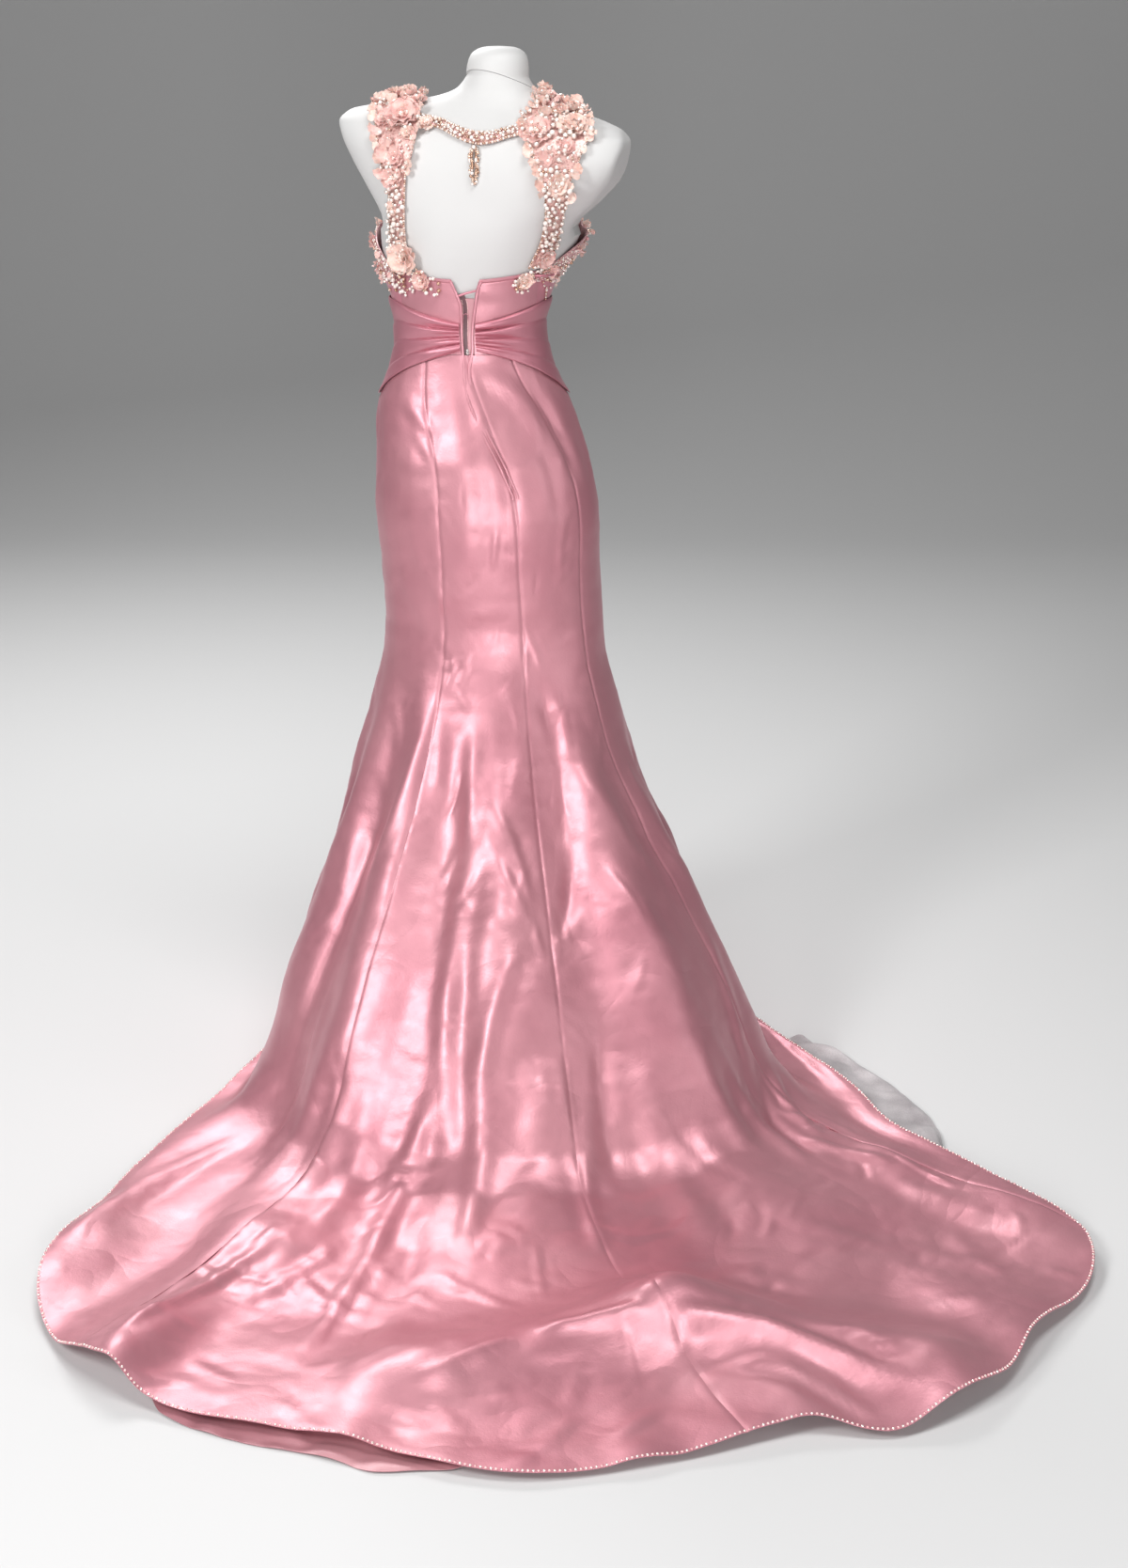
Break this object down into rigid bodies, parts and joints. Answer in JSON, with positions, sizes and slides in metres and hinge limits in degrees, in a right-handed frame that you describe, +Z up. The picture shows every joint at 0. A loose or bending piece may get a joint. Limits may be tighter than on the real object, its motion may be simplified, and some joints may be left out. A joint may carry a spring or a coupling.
{
  "type": "evening gown on dress form",
  "caption": "Open-back satin evening gown with a long train, pleated sash and flower applique, standing on a limbless dress form.",
  "frame": {"origin": "on the floor, at the middle of the stand plate's underside, under the dress form", "axes": "+Z up, -Y towards the gown's back and train, +X towards the wearer's right"},
  "size_m": [1.3997, 1.5374, 1.5504],
  "materials": {
    "satin": "duchess satin with a strong sheen",
    "applique": "sheer silk petals and lace",
    "beads": "pearls and glass beads",
    "form": "smooth matte white",
    "metal": "satin grey",
    "net": "stiff net",
    "lining": "dull lining satin"
  },
  "bodies": {
    "root": {"form_torso": "form", "form_neck_cap": "form", "stand_pole": "metal", "stand_base": "metal", "skirt_side_back_left": "satin", "skirt_back_left": "satin", "skirt_back_right": "satin", "skirt_side_back_right": "satin", "skirt_side_front_right": "satin", "skirt_front": "satin", "skirt_side_front_left": "satin", "bodice_back_left": "satin", "bodice_back_right": "satin", "bodice_side_right": "satin", "bodice_front": "satin", "bodice_side_left": "satin", "sash_back_left": "satin", "sash_back_right": "satin", "sash_front": "satin", "placket_left": "satin", "placket_right": "satin", "zip_tape": "satin", "zip_slider": "metal", "hook": "beads", "strap_left": "applique", "strap_right": "applique", "neck_bridge": "beads", "pendant": "beads", "flower_left_shoulder": "applique", "flower_left_top": "applique", "flower_left_inner": "applique", "flower_left_low": "applique", "flower_left_waist": "applique", "flower_left_back": "applique", "flower_right_inner": "applique", "flower_right_shoulder": "applique", "flower_right_top": "applique", "flower_right_low": "applique", "flower_right_waist": "applique", "flower_right_back": "applique", "hem_lining": "lining", "petticoat_net": "net"}
  },
  "joints": []
}
